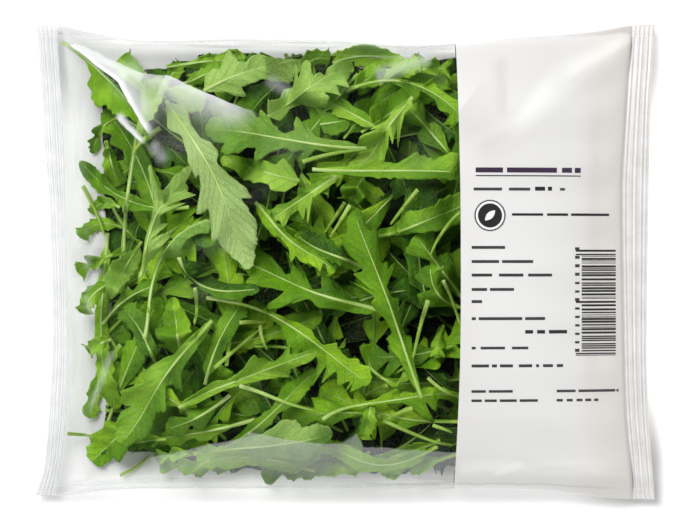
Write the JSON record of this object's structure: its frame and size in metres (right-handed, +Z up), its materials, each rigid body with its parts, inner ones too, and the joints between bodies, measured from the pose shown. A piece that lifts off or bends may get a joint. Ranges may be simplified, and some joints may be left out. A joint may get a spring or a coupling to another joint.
{
  "type": "bag of salad leaves",
  "caption": "Sealed flat pillow bag of fresh salad leaves, with a clear window, a white end panel, ribbed end seals and a back seam, lying window side up.",
  "frame": {"origin": "middle of the bag's footprint, on the table it lies on", "axes": "+X along the bag from the clear end to the white end, +Y across it to the far fold, +Z up out of the window side"},
  "size_m": [0.2507, 0.192, 0.0461],
  "materials": {
    "filled_bag": "clear film over green leaves, glossy",
    "clear_film": "clear polypropylene film, glossy, slightly milky in its folds",
    "white_film": "white printed polypropylene film, satin",
    "dark_print": "thin printed ink, satin",
    "salad_leaf": "fresh lobed leaf with a pale midrib, waxy",
    "leaf_stalk": "pale green cut stalk, moist"
  },
  "bodies": {
    "root": {"bag": "filled_bag"}
  },
  "joints": []
}
